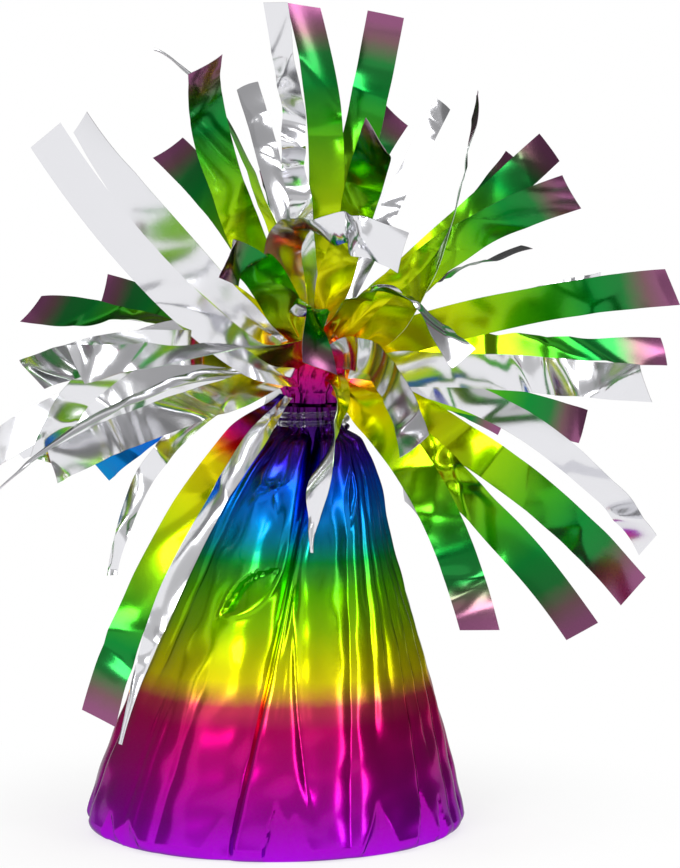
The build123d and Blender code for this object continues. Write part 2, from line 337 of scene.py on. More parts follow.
skirt_film, start = new_finish("skirt_film")
height = start.node(
    "ShaderNodeSeparateXYZ", sockets={0: start.node("ShaderNodeTexCoord", output="Object")}, output="Z"
)
along = height * (1 / (SKIRT_PRINT_TOP * MM))
film_finish(start, print_stops(SKIRT_PRINT_AND_THROAT_SHADE), along, SKIRT_ROUGHNESS)

fringe_film, start = new_finish("fringe_film")
run = start.node(
    "ShaderNodeSeparateXYZ", sockets={0: start.node("ShaderNodeUVMap", {"uv_map": "film"})}, output="X"
)
bare = start.node("ShaderNodeAttribute", {"attribute_name": "silver"}, output="Fac")
film_finish(start, print_stops(FRINGE_PRINT), run, PRINT_ROUGHNESS, silver=bare)
print("film prints of", len(SKIRT_PRINT_AND_THROAT_SHADE), "and", len(FRINGE_PRINT), "colours")

# %% [markdown]
# ## From a grid to a piece
# Every film surface here is a grid of points, as a function of two parameters. One helper turns a grid
# into quads, and one makes the quads a piece: it sees that faces point outwards, writes the film
# coordinates, parents the piece to the body that carries the node it stands for, and hides that node.
# Blender's own primitives and modifiers could start such shapes, but a formula says where every fold lies.


# %% Grids and pieces
def grid_faces(rows, columns, close_rows=False, close_columns=False):
    """Quads between neighbours of a grid whose points are numbered row by row."""
    row = np.arange(rows if close_rows else rows - 1)[:, None]
    column = np.arange(columns if close_columns else columns - 1)[None, :]
    next_row = (row + 1) % rows
    next_column = (column + 1) % columns
    corners = [row * columns + column, row * columns + next_column]
    corners += [next_row * columns + next_column, next_row * columns + column]
    return np.stack(corners, axis=-1).reshape(-1, 4)


def enclosed(points, faces):
    """Volume inside closed quads, which is negative if they point inwards."""
    a, b, c, d = (points[faces[:, corner]] for corner in range(4))
    return float((np.cross(b - a, c - a) * a).sum() + (np.cross(c - a, d - a) * a).sum()) / 6


RIM_ANGLE = np.radians(50)


def make_piece(name, points, faces, material, node, film=None, silver=None):
    """A smooth mesh object of points in millimetres that rides with the node it stands for."""
    if enclosed(points, faces) < 0:
        faces = faces[:, ::-1]
    mesh = bpy.data.meshes.new(name)
    mesh.from_pydata((points * MM).tolist(), [], faces.tolist())
    mesh.polygons.foreach_set("use_smooth", np.ones(len(faces), bool))
    mesh.materials.append(material)
    if film is not None:
        layer = mesh.uv_layers.new(name="film")
        layer.data.foreach_set("uv", film[faces.ravel()].ravel())
    if silver is not None:
        attribute = mesh.attributes.new("silver", "FLOAT", "POINT")
        attribute.data.foreach_set("value", silver)
    mesh.set_sharp_from_angle(angle=RIM_ANGLE)
    piece = bpy.data.objects.new(name, mesh)
    bpy.context.scene.collection.objects.link(piece)
    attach(piece, BODY_OF.get(node, "weight"))
    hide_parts(node)
    return piece


def mix(start, end, share):
    """Value a share of the way from start to end."""
    return start + (end - start) * share


def ease(share):
    """Smooth step from 0 to 1."""
    held = np.clip(share, 0, 1)
    return held * held * (3 - 2 * held)


print("ready to make pieces")

# %% [markdown]
# ## The pleated wrap
# The skirt is flat film drawn round a cone, so it can't lie smooth. It falls in sharp folds from the
# neck, stands fuller on its left, breaks into flat triangles where it is tucked under the foot, and keeps
# the marks of the hands that wrapped it: a leaf, a star and a tear. It could be draped by simulation, but
# foil holds the folds it was given, so its radius is a leaning cone's, less a sum of reliefs over height
# and azimuth.

# %% Wrap sizes
wrap_low, wrap_high = (np.array(corner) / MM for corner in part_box("foil_wrap"))
bunch_low, bunch_high = (np.array(corner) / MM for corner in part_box("foil_bunch"))
BASE_RADIUS = (wrap_high[0] - wrap_low[0]) / 2
NECK_TOP = wrap_high[2]
NECK_OFFSET = (bunch_low[0] + bunch_high[0]) / 2
EDGE_ROUND = 2.0
SKIRT_HEIGHT = 66.5
SKIRT_TOP_RADIUS = 7.4
SKIRT_BULGE = 2.0
LEAN_POWER = 1.5
SHOULDER = 1.5
SHOULDER_PLACE = 0.92
SHOULDER_REACH = 0.14
NECK_RADIUS = 5.1
THROAT_REACH = 1.3
THROAT_LEAST = 4.4
THROAT_FLUTES = 21
THROAT_DEPTH = 0.6
HEM_HOLE = 19.4
FILM_WALL = 1.2
# Each fold: its azimuth at the foot and its twist up to the neck in degrees, the lowest and the highest
# share of the skirt that it reaches, its depth at the foot and at the neck in millimetres, and how wide
# it opens to its left and to its right
FOLDS = [
    (256.5, 15, -1.0, 2.0, 1.7, 3.4, 3.2, 0.6), (284, -20, 0.04, 0.74, 1.2, 1.4, 1.1, 1.8),
    (270, 1, 0.74, 2.0, 0.4, 2.4, 0.8, 1.1),
    (232.5, 12, -1.0, 0.5, 0.45, 0.2, 0.5, 1.6), (218, 10, -1.0, 0.45, 0.3, 0.2, 0.4, 0.7),
    (224, 9, -1.0, 0.4, 0.2, 0.1, 0.4, 0.5), (248, 16, 0.62, 0.86, 0.3, 0.3, 0.5, 0.6),
    (262, 14, 0.35, 1.1, 0.2, 0.8, 0.5, 0.8), (268, 5, 0.25, 0.72, 0.3, 0.4, 0.6, 0.5),
    (294, 10, -1.0, 0.85, 0.5, 0.5, 1.6, 0.5), (303, 14, 0.2, 2.0, 0.1, 0.7, 0.9, 0.9),
    (312, 12, 0.25, 2.0, 0.1, 0.8, 0.6, 1.0), (323, 8, -1.0, 2.0, 0.6, 0.7, 0.5, 1.4),
    (331, 10, 0.15, 2.0, 0.4, 0.9, 0.6, 1.2), (341, 10, -1.0, 2.0, 0.4, 0.8, 1.0, 0.7),
    (352, 10, -1.0, 2.0, 0.6, 1.0, 0.8, 1.5), (8, 12, -1.0, 2.0, 0.6, 1.1, 1.8, 0.6),
    (27, 14, 0.1, 2.0, 0.3, 0.9, 0.8, 1.0), (46, 16, -1.0, 2.0, 0.8, 1.3, 0.6, 2.2),
    (68, 14, 0.2, 2.0, 0.3, 0.9, 1.2, 0.7), (84, 18, -1.0, 2.0, 0.7, 1.2, 2.0, 0.6),
    (103, 15, 0.1, 2.0, 0.4, 1.0, 0.8, 1.2), (122, 17, -1.0, 2.0, 0.9, 1.4, 0.6, 2.4),
    (143, 14, 0.15, 2.0, 0.3, 0.9, 1.0, 0.8), (158, 16, -1.0, 2.0, 0.7, 1.2, 1.8, 0.6),
    (176, 14, 0.1, 2.0, 0.4, 0.9, 0.7, 1.3), (190, 15, -1.0, 2.0, 0.6, 1.1, 1.2, 0.6),
    (204, 14, 0.3, 2.0, 0.2, 1.0, 0.8, 1.6),
]
FOLD_FADE = 0.14
FOLD_SOFT = 0.4
FOLD_NARROWING = 0.6
print("wrap", round(2 * BASE_RADIUS, 1), "mm across,", len(FOLDS), "folds")

# %% Wrap reliefs
WRAP_SEED = 17
# Facets: how far their places vary and half widths in degrees, heights and depths in millimetres
FACETS = 19
FACET_JITTER = 8
FACET_HALF = (2.0, 11.0)
FACET_HEIGHT = (3.5, 12.0)
FACET_DEPTH = (0.9, 2.4)
FACET_LEAST = 0.01
# Waves: turns round the cone, spread of their climb in radians a millimetre, and size in millimetres,
# which is divided by the turns plus WAVE_FALL
WAVES = 22
WAVE_TURNS = (3, 26)
WAVE_CLIMB = 0.35
WAVE_SIZE = 0.55
WAVE_FALL = 4

rng = np.random.default_rng(WRAP_SEED)
facet_azimuth = np.arange(FACETS) * 360 / FACETS + rng.uniform(-FACET_JITTER, FACET_JITTER, FACETS)
facet_left = rng.uniform(*FACET_HALF, FACETS)
facet_right = rng.uniform(*FACET_HALF, FACETS)
facet_height = rng.uniform(*FACET_HEIGHT, FACETS)
facet_depth = rng.uniform(*FACET_DEPTH, FACETS)
wave_turns = rng.integers(*WAVE_TURNS, WAVES)
wave_climb = rng.normal(0, WAVE_CLIMB, WAVES)
wave_phase = rng.uniform(0, 2 * np.pi, WAVES)
wave_size = WAVE_SIZE / (wave_turns + WAVE_FALL)


def skirt_radius(rise):
    """Cone radius at a share of the rise: a straight line, plus a slight bulge and a rounded shoulder."""
    bulge = 4 * SKIRT_BULGE * rise * (1 - rise)
    shoulder = SHOULDER * np.exp(-(((rise - SHOULDER_PLACE) / SHOULDER_REACH) ** 2))
    return mix(BASE_RADIUS, SKIRT_TOP_RADIUS, rise) + bulge + shoulder


def nearest_turn(angle):
    """The same direction as an angle in degrees, between -180 and 180."""
    return (angle + 180) % 360 - 180


def fold_relief(azimuth, share, radius):
    """Sum of folds: each a valley, depth * exp(-distance / width), as wide as it opens on either side."""
    total = np.zeros_like(azimuth)
    for place, twist, low, high, foot, neck, left, right in FOLDS:
        off = nearest_turn(azimuth - place - twist * share) * np.radians(radius)
        width = np.where(off < 0, left, right) * mix(1.0, FOLD_NARROWING, share)
        along = ease((share - low) / FOLD_FADE) * ease((high - share) / FOLD_FADE)
        valley = np.exp((FOLD_SOFT - np.hypot(off, FOLD_SOFT)) / width)
        total += mix(foot, neck, share) * along * valley
    return total


def facet_relief(azimuth, height):
    """Flat triangles round the foot: each leans in evenly from its peak on the cone down to the floor."""
    total = np.zeros_like(azimuth)
    facets = zip(facet_azimuth, facet_left, facet_right, facet_height, facet_depth)
    for place, left, right, tall, depth in facets:
        off = nearest_turn(azimuth - place)
        peak = np.clip(tall * np.minimum(1 + off / left, 1 - off / right), FACET_LEAST, None)
        total = np.maximum(total, depth * np.clip(1 - height / peak, 0, 1))
    return total


def wave_relief(azimuth, height):
    """Slow unevenness of hand-drawn film: a sum of cosines over azimuth and height."""
    total = np.zeros_like(azimuth)
    for turns, climb, phase, size in zip(wave_turns, wave_climb, wave_phase, wave_size):
        total += size * np.cos(np.radians(azimuth) * turns + height * climb + phase)
    return total


print(FACETS, "facets and", WAVES, "waves")

# %% Dents of the wrap
# Each place, and the lobe's reach, is an azimuth in degrees and a height in millimetres. Lengths, widths,
# heights and depths are in millimetres, but edges, starts, fades and the lip's place and width are shares
LEAF_PLACE = (247.5, 42.8)
LEAF_DIRECTION = (0.74, 0.67)
LEAF_HALF = (5.6, 2.7)
LEAF_EDGE = 0.25
LEAF_DEPTH = 0.7
LEAF_SLOPE = 0.4
LIP_HEIGHT = 0.3
LIP_PLACE = 0.08
LIP_WIDTH = 0.2
LIP_START = 0.75
LIP_REACH = (9, 4)
STAR_PLACE = (247, 59.6)
# Each ridge of the star: its direction in degrees and its length
STAR_RIDGES = ((172, 4.0), (215, 4.6), (22, 2.2), (284, 5.5))
STAR_HEIGHT = 0.8
STAR_SHARPNESS = 0.45
STAR_ROOT = 0.5
STAR_FADE = 1.2
TEAR_PLACE = (306, 58.5)
TEAR_HALF_LENGTH = 5.5
TEAR_HALF_WIDTH = 0.9
TEAR_SLANT = 0.8
TEAR_RIM = 0.35
TEAR_RIM_WIDTH = 0.3
TEAR_FADE = 1.4
LOBE_PLACE = (190, 54)
LOBE_REACH = (30, 14)
LOBE_HEIGHT = 2.0


def off_place(azimuth, height, radius, place):
    """Distances round the cone and up from a place on it."""
    return (azimuth - place[0]) * np.radians(radius), height - place[1]


def leaf_dent(azimuth, height, radius):
    """A leaf pressed in where (along / half length)^2 + |across| / half width < 1, with a raised lip."""
    x, y = off_place(azimuth, height, radius, LEAF_PLACE)
    along = x * LEAF_DIRECTION[0] + y * LEAF_DIRECTION[1]
    across = y * LEAF_DIRECTION[0] - x * LEAF_DIRECTION[1]
    inside = 1 - (along / LEAF_HALF[0]) ** 2 - np.abs(across) / LEAF_HALF[1]
    lip = ease(LIP_START - across / LIP_REACH[1] - along / LIP_REACH[0])
    rim = np.exp(-(((inside + LIP_PLACE) / LIP_WIDTH) ** 2))
    return ease(inside / LEAF_EDGE) * (LEAF_DEPTH + LEAF_SLOPE * across) - LIP_HEIGHT * lip * rim


def star_ridges(azimuth, height, radius):
    """Short ridges from one point: each exp(-|across| / sharpness), between its root and its length."""
    x, y = off_place(azimuth, height, radius, STAR_PLACE)
    total = np.zeros_like(azimuth)
    for angle, reach in STAR_RIDGES:
        turn = np.radians(angle)
        along = x * np.cos(turn) + y * np.sin(turn)
        across = y * np.cos(turn) - x * np.sin(turn)
        ends = ease(along + STAR_ROOT) * ease(STAR_FADE - along / reach)
        total += STAR_HEIGHT * np.exp(-np.abs(across) / STAR_SHARPNESS) * ends
    return total


def tear_rim(azimuth, height, radius):
    """A rim round a slanted, pointed opening: exp(-(distance from its edge / rim width)^2)."""
    x, y = off_place(azimuth, height, radius, TEAR_PLACE)
    up = y / TEAR_HALF_LENGTH
    edge = np.abs(x - TEAR_SLANT * up) - TEAR_HALF_WIDTH * ease(1 - np.abs(up))
    return TEAR_RIM * np.exp(-((edge / TEAR_RIM_WIDTH) ** 2)) * ease(TEAR_FADE - np.abs(up))


def left_lobe(azimuth, height):
    """A broad swelling on the left: exp(-x^2 - y^2), x in shares of its reach round and y up the cone."""
    x = (azimuth - LOBE_PLACE[0]) / LOBE_REACH[0]
    y = (height - LOBE_PLACE[1]) / LOBE_REACH[1]
    return LOBE_HEIGHT * np.exp(-(x**2) - y**2)


def dent_relief(azimuth, height, radius):
    """The leaf's depth, less what stands out: the star, the tear's rim and the lobe on the left."""
    raised = star_ridges(azimuth, height, radius) + tear_rim(azimuth, height, radius)
    return leaf_dent(azimuth, height, radius) - raised - left_lobe(azimuth, height)


print("a leaf, a tear and a star of", len(STAR_RIDGES), "ridges")

# %% Wrap surface
COLUMNS = 480
GRID_TWIST = 13.0
HEM_ROWS = 6
EDGE_ROWS = 10
SKIRT_ROWS = 156
THROAT_ROWS = 14
INNER_STEP = 10
NECK_FADE = 5
FOOT_FADE = 6
FOOT_LIFT = 1
HELD_SHARE = 0.3
FLUTE_WANDER = 20
FLUTE_WANDER_TURNS = 3
THROAT_FADE = 4
HEM_FADE = 10
FACET_TOP = 15


def wrap_rows(inset):
    """Radius, height and share of the rise along the profile, from the hem's edge to the neck's top."""
    hem = np.linspace(HEM_HOLE, BASE_RADIUS - EDGE_ROUND, HEM_ROWS, endpoint=False)
    bend = np.linspace(0, np.pi / 2, EDGE_ROWS, endpoint=False)
    rise = np.linspace(0, 1, SKIRT_ROWS, endpoint=False)
    throat = np.linspace(SKIRT_HEIGHT, NECK_TOP, THROAT_ROWS)
    corner = EDGE_ROUND - inset
    narrowing = np.exp(-(((throat - SKIRT_HEIGHT) / THROAT_REACH) ** 2))
    radius = np.concatenate([
        hem, BASE_RADIUS - EDGE_ROUND + corner * np.sin(bend),
        skirt_radius(rise) - inset, mix(NECK_RADIUS, skirt_radius(1.0), narrowing) - inset,
    ])
    height = np.concatenate([
        0 * hem + inset, EDGE_ROUND - corner * np.cos(bend),
        mix(EDGE_ROUND, SKIRT_HEIGHT, rise), throat,
    ])
    share = np.concatenate([0 * hem, 0 * bend, rise, np.ones(THROAT_ROWS)])
    return radius, height, share


def wrap_points(inset, step=1):
    """The film as radius over azimuth and height: the leaning cone less its reliefs."""
    radius, height, share = (row[::step, None] for row in wrap_rows(inset))
    share = share + np.zeros(COLUMNS)
    height = height + np.zeros(COLUMNS)
    azimuth = np.linspace(0, 360, COLUMNS, endpoint=False) + GRID_TWIST * share
    below_neck = ease((NECK_TOP - height) / NECK_FADE)
    above_foot = ease((height + FOOT_LIFT) / FOOT_FADE)
    relief = fold_relief(azimuth, share, radius)
    # the film between the folds stands out as far as the folds go in
    relief -= relief.mean(axis=1, keepdims=True)
    relief *= mix(HELD_SHARE, 1, below_neck) * mix(HELD_SHARE, 1, above_foot)
    wander = FLUTE_WANDER * np.sin(np.radians(FLUTE_WANDER_TURNS * azimuth))
    flute = 1 - np.abs(np.sin(np.radians(azimuth * THROAT_FLUTES / 2 + wander)))
    relief += THROAT_DEPTH * flute * ease((height - SKIRT_HEIGHT + THROAT_FADE) / THROAT_FADE)
    uneven = wave_relief(azimuth, height) + dent_relief(azimuth, height, radius)
    relief += uneven * below_neck * above_foot
    reach = radius - relief * np.where(height < EDGE_ROUND, ease((radius - HEM_HOLE) / HEM_FADE), 1)
    wall = skirt_radius((height - EDGE_ROUND) / (SKIRT_HEIGHT - EDGE_ROUND)) - inset
    tucked = np.minimum(reach, wall - relief - facet_relief(azimuth, height))
    reach = np.where(height < FACET_TOP, tucked, reach)
    reach = np.maximum(reach, np.where(height > EDGE_ROUND, THROAT_LEAST - inset, 0))
    turn = np.radians(azimuth)
    lean = NECK_OFFSET * share**LEAN_POWER
    return np.stack([lean + reach * np.cos(turn), reach * np.sin(turn), height], axis=-1)


outer = wrap_points(0.0)
inner = wrap_points(FILM_WALL, INNER_STEP)
shell = np.concatenate([outer, inner[::-1]])
faces = grid_faces(len(shell), COLUMNS, close_rows=True, close_columns=True)
wrap = make_piece("foil_wrap_film", shell.reshape(-1, 3), faces, skirt_film, "foil_wrap")
print("wrap faces:", len(faces))

# %% [markdown]
# ## The gathered bunch
# Above the tie the film is crushed into a knot, and the strips leave from its folds. It is a ball on a
# short column and a stem, and its radius is cut by creases that run in all directions: 1 less the size
# of a sine is sharp along its crest, and a few such waves over each other look crushed. A cloth
# simulation could crush a real sheet, but the strips hide nearly all of the knot.

# %% Bunch
BUNCH_RADIUS = (bunch_high[0] - bunch_low[0]) / 2
BUNCH_CENTRE = np.array([NECK_OFFSET, 0.0, bunch_high[2] - BUNCH_RADIUS])
STEM_RADIUS = 3.6
COLUMN_RADIUS = 5.4
CRUSH_WAVES = 4
CRUSH_DEPTH = 0.5
CRUSH_PITCH = 2.6
CRUSH_PHASE = 6.28
CRUSH_START = -7.5
CRUSH_FADE = 1.5
COLUMN_GAP = 0.2
BUNCH_SEED = 5
# The top of the ball and the foot of the stem shrink to points this small
TOP_RADIUS = 0.01
FOOT_SHARE = 0.001
BUNCH_PRINT = 0.6
BUNCH_ROWS = 60
BUNCH_COLUMNS = 156


def bunch_points():
    """A ball's radius over height on a stem, times 1 less creases: 1 - |sin| of waves in all directions."""
    rng = np.random.default_rng(BUNCH_SEED)
    climb = np.linspace(0, 1, BUNCH_ROWS)[:, None]
    turn = np.linspace(0, 2 * np.pi, BUNCH_COLUMNS, endpoint=False)[None, :]
    stem_bottom = bunch_low[2] - BUNCH_CENTRE[2]
    height = mix(stem_bottom, BUNCH_RADIUS, climb)
    ball = np.sqrt(np.clip(BUNCH_RADIUS**2 - height**2, TOP_RADIUS**2, None))
    stem = np.where(height > NECK_TOP - BUNCH_CENTRE[2] + COLUMN_GAP, COLUMN_RADIUS, STEM_RADIUS)
    reach = np.where(height > 0, ball, np.maximum(ball, stem))
    crush = 0
    for _ in range(CRUSH_WAVES):
        right, back, up = rng.normal(0, CRUSH_PITCH, 3)
        phase = rng.uniform(0, CRUSH_PHASE)
        level = right * np.cos(turn) + back * np.sin(turn)
        wave = np.sin(level + up * height / BUNCH_RADIUS + phase)
        crush = crush + (1 - np.abs(wave)) / CRUSH_WAVES
    reach = reach * (1 - CRUSH_DEPTH * crush * ease((height - CRUSH_START) / CRUSH_FADE))
    reach = reach * np.where(climb == 0, FOOT_SHARE, 1)
    x = BUNCH_CENTRE[0] + reach * np.cos(turn)
    y = BUNCH_CENTRE[1] + reach * np.sin(turn)
    return np.stack([x, y, BUNCH_CENTRE[2] + height + 0 * turn], axis=-1), height + 0 * turn


points, height = bunch_points()
run = print_place(BUNCH_PRINT * (height + BUNCH_RADIUS))
film = np.stack([run.ravel(), np.zeros(run.size)], axis=-1)
faces = grid_faces(BUNCH_ROWS, BUNCH_COLUMNS, close_columns=True)
make_piece(
    "foil_bunch_film", points.reshape(-1, 3), faces, fringe_film, "foil_bunch",
    film=film, silver=np.zeros(run.size),
)
print("bunch faces:", len(faces))

# %% [markdown]
# ## The fringe
# Each strip is a narrow ribbon of film whose direction turns from root to tip, and which rolls and twists
# about that direction as it goes. The ribbon's middle line adds up its directions, and its surface is that
# line plus a share of its side direction, plus a small height for the fold at its root, a cross curl and
# the creases of crumpled film. Bevelled curves make ribbons too, but on a grid each strip can have its own
# creases, breadth, tip and stretch of the print.

# %% Strip table
STRIP_LENGTH = 56.0
STRIP_WIDTH = 6.5
ROOT_WIDTH = 3.4
ROOT_TAPER = 11.0
ROOT_CLEARANCE = 0.25
# Each strip: azimuth and elevation at the root and at the tip, how late it bends, the roll of its printed
# side at the root and at the tip, and its length as a share of the usual one
FRINGE = [
    # standing strips
    (248, 80, 238, 75, 1, -30, -20, 1),
    (40, 82, 150, 73, 1, -40, 40, 1),
    (62, 68, 24, 78, 1, -30, -60, 1),
    (150, 70, 186, 20, 4, 40, 230, 1),
    (208, 60, 276, 48, 1, 120, 170, 1),
    (110, 62, 104, 34, 1, 205, 195, 1),
    (300, 66, 268, 12, 1, -140, -140, 1),
    (80, 52, 62, 31, 1, -20, -35, 1),
    (54, 50, 64, 38, 1, 140, 130, 1),
    (326, 24, 300, 88, 1, -92, -50, 1),
    (34, 32, 60, 34, 1, -65, -65, 1),
    (20, 42, 50, 28, 1, -60, -60, 1),
    (344, 46, 324, 16, 1, -95, -110, 0.9),
    # strips to the right
    (56, 22, 42, 10, 1, 180, 190, 1),
    (34, 12, 36, 8, 1, 120, 100, 1),
    (350, 20, 350, 5, 1, -90, -90, 1),
    (12, 8, 14, -6, 1, -20, -60, 1),
    (332, 2, 324, -2, 1, 90, 90, 1),
    (60, -4, 48, -24, 1, -80, -100, 1),
    (38, -10, 36, -16, 1, -90, -95, 1),
    (358, -4, 358, -58, 1, 95, 80, 1.08),
    (342, -20, 342, -48, 1, -75, -80, 1.08),
    (322, -26, 334, -52, 1, -60, -70, 1.08),
    (308, -20, 300, -64, 1, -50, -40, 1),
    (292, 16, 282, -40, 1, 60, 150, 0.9),
    (298, -4, 210, -90, 0.7, -20, 270, 0.66),
    # strips to the left
    (206, -40, 206, -74, 1, 55, 60, 1.14),
    (222, -40, 222, -72, 1, 244, 240, 1.2),
    (194, -14, 212, -82, 1, 262, 245, 0.82),
    (210, 2, 208, -40, 1, 190, 200, 1),
    (226, -8, 232, -14, 1, 250, 250, 1),
    (134, -10, 128, -34, 1, 90, 100, 1),
    (152, -8, 154, -24, 1, 270, 280, 1),
    (188, 26, 220, -72, 1, 250, 270, 0.9),
    (258, 14, 198, -8, 1, 110, 250, 1),
    (246, -8, 192, 57, 0.3, 262, 288, 1.12),
    (202, 37, 190, 58, 1, 312, 312, 0.92),
    (118, 44, 124, 24, 1, 50, 50, 1),
    (138, 30, 132, 18, 1, 75, 85, 1),
    (130, 12, 126, 6, 1, 70, 70, 1),
    (152, 14, 136, -2, 1, 20, 30, 1),
    (217, 14, 234, -12, 1, 260, 260, 1),
    # strips to the front
    (274, 56, 272, -64, 1, -10, 40, 0.72),
    (98, 42, 96, 16, 1, 0, 0, 1),
    (250, 40, 264, 4, 1, 150, 130, 0.7),
    (238, 62, 338, -26, 1, -70, 110, 1),
    (300, 46, 318, -46, 1, 180, 180, 0.72),
    # strips to the back
    (178, 2, 178, -40, 1, 220, 240, 1),
    (92, 22, 92, 0, 1, 0, 10, 1),
    (100, -8, 100, -40, 1, 0, 0, 1),
    (80, -34, 84, -62, 1, 0, 0, 1),
    (118, -34, 118, -64, 1, 0, 0, 1),
    (140, -42, 130, -76, 1, 0, 0, 1),
    (64, -20, 78, -42, 1, -60, -60, 1),
]
print(len(FRINGE), "strips")

# %% Looks of single strips
# By number: strength of the crumpling, breadth, sharpness of the tip, width of the root, and the span of
# the print from root to tip in millimetres from the tie
LOOKS = {
    1: {"strength": 2.0, "breadth": 0.6},
    3: {"strength": 0.4, "root": 1.4},
    4: {"strength": 0.5, "breadth": 0.6, "point": 0.85},
    6: {"strength": 0.9, "breadth": 0.65, "root": 1.4},
    8: {"strength": 0.4, "root": 1.4},
    9: {"strength": 0.6, "breadth": 0.5},
    14: {"strength": 0.9, "breadth": 0.7},
    16: {"strength": 0.4, "root": 1.4},
    18: {"strength": 2.2},
    19: {"strength": 0.4, "root": 1.4},
    21: {"strength": 1.2, "breadth": 0.8, "root": 1.4},
    25: {"strength": 1.4, "breadth": 0.9},
    26: {"strength": 0.6, "breadth": 0.8, "point": 0.9},
    27: {"strength": 1.0, "root": 1.8, "span": (-6, 63)},
    28: {"strength": 0.7, "breadth": 0.6, "point": 0.8, "root": 1.2},
    29: {"strength": 1.0, "breadth": 0.55, "point": 0.5},
    30: {"strength": 0.6, "breadth": 0.5, "point": 0.9},
    31: {"strength": 1.8, "breadth": 0.9},
    32: {"span": (-4, -24)},
    34: {"strength": 1.6, "breadth": 0.9},
    36: {"strength": 0.5},
    37: {"strength": 0.3},
    38: {"strength": 0.4, "root": 1.4},
    42: {"strength": 1.7, "breadth": 0.9},
    43: {"strength": 2.2, "breadth": 0.85, "span": (15, 63)},
    45: {"strength": 2.4, "span": (16, 63)},
    46: {"strength": 1.8, "span": (23, 63)},
    47: {"strength": 1.8, "breadth": 0.9, "span": (16, 63)},
    54: {"strength": 0.4, "root": 1.4},
}
print(len(LOOKS), "strips have a look of their own")

# %% Strip surface
# Lengths are in millimetres, twists in degrees and crease slants in radians. The twist and the point start
# at a share of the strip's length
ALONG = 113
ACROSS = 13
FILM_HALF = 0.04
ROOT_FOLD = 1.1
CURL = 0.35
CURL_LEVEL = 0.33
TWIST = (8, 22.0)
TWIST_TURNS = (0.6, 1.5)
TWIST_START = 0.3
CALM = 0.7
CREASE_COUNT = 11
CREASE_FIRST = 3
CREASE_SLANT = 1.1
CREASE_FOLD = 0.2
CREASE_REACH = (2, 7)
CREASE_ROUND = 0.06
CRUMPLE_START = 4
CRUMPLE_FADE = 12
BREADTH_SPREAD = (0.92, 1.03)
POINT_START = 0.6
TIP_SLANT = 0.35
TIP_POWER = 8
PRINT_SPAN = (7, 63)
PRINT_SHIFT = 1.5
PRINT_SEED = 1000


def strip_frame(strip, share, wobble):
    """Middle line of a strip that twists to and fro, and its heading, side and printed-face directions."""
    root_azimuth, root_rise, tip_azimuth, tip_rise, lateness, root_roll, tip_roll, length = strip
    azimuth = np.radians(mix(root_azimuth, tip_azimuth, share**lateness))
    rise = np.radians(mix(root_rise, tip_rise, share**lateness))
    twist = wobble[0] * np.sin(2 * np.pi * (wobble[1] * share + wobble[2])) * ease(share / TWIST_START)
    roll = np.radians(mix(root_roll, tip_roll, share) + twist)[:, None]
    flat = np.cos(rise)
    heading = np.stack([flat * np.cos(azimuth), flat * np.sin(azimuth), np.sin(rise)], axis=1)
    step = STRIP_LENGTH * length / (len(share) - 1)
    travel = np.cumsum((heading[1:] + heading[:-1]) / 2 * step, axis=0)
    first = BUNCH_CENTRE + heading[0] * (BUNCH_RADIUS + ROOT_CLEARANCE)
    middle = np.concatenate([first[None], first + travel])
    level = np.stack([np.sin(azimuth), -np.cos(azimuth), 0 * azimuth], axis=1)
    raised = np.cross(level, heading)
    side = level * np.cos(roll) + raised * np.sin(roll)
    face = raised * np.cos(roll) - level * np.sin(roll)
    return middle, heading, side, face


def crumple(x, y, rng, strength):
    """Sum of creases: each a soft |d| from a slanted line across the strip, dying as exp(-(d/reach)^2)."""
    place = rng.uniform(CREASE_FIRST, STRIP_LENGTH, CREASE_COUNT)[:, None, None]
    slant = rng.uniform(-CREASE_SLANT, CREASE_SLANT, CREASE_COUNT)[:, None, None]
    fold = rng.normal(0, CREASE_FOLD, CREASE_COUNT)[:, None, None] * strength
    reach = rng.uniform(*CREASE_REACH, CREASE_COUNT)[:, None, None]
    off = (x - place) * np.cos(slant) + y * np.sin(slant)
    return (fold * np.sqrt(off**2 + CREASE_ROUND) * np.exp(-((off / reach) ** 2))).sum(axis=0)


def strip_points(strip, seed, strength=CALM, breadth=1.0, point=0.0, root=ROOT_WIDTH):
    """Ribbon points: middle line + side * width share + face * (root fold + curl + crumple)."""
    rng = np.random.default_rng(seed)
    share = np.linspace(0, 1, ALONG)
    wobble = (rng.uniform(*TWIST), rng.uniform(*TWIST_TURNS), rng.uniform(0, 1))
    middle, heading, side, face = strip_frame(strip, share, wobble)
    x = share[:, None] * STRIP_LENGTH * strip[7]
    opened = ease(x / ROOT_TAPER)
    pointed = 1 - point * ease((share[:, None] - POINT_START) / (1 - POINT_START))
    width = mix(root, STRIP_WIDTH * breadth * rng.uniform(*BREADTH_SPREAD), opened) * pointed
    across = np.linspace(-0.5, 0.5, ACROSS)[None, :]
    y = width * across
    curl = CURL * rng.uniform(-1, 1)
    height = (1 - opened) * ROOT_FOLD * (0.5 - np.abs(2 * across))
    height = height + opened * curl * ((2 * across) ** 2 - CURL_LEVEL)
    height = height + crumple(x + 0 * y, y, rng, strength) * ease((x - CRUMPLE_START) / CRUMPLE_FADE)
    slant = rng.uniform(-TIP_SLANT, TIP_SLANT)
    lead = slant * y * share[:, None] ** TIP_POWER
    centre = middle[:, None] + side[:, None] * y[..., None] + heading[:, None] * lead[..., None]
    front = centre + face[:, None] * (height + FILM_HALF)[..., None]
    back = centre + face[:, None] * (height - FILM_HALF)[..., None]
    return np.concatenate([front, back[:, ::-1]], axis=1)


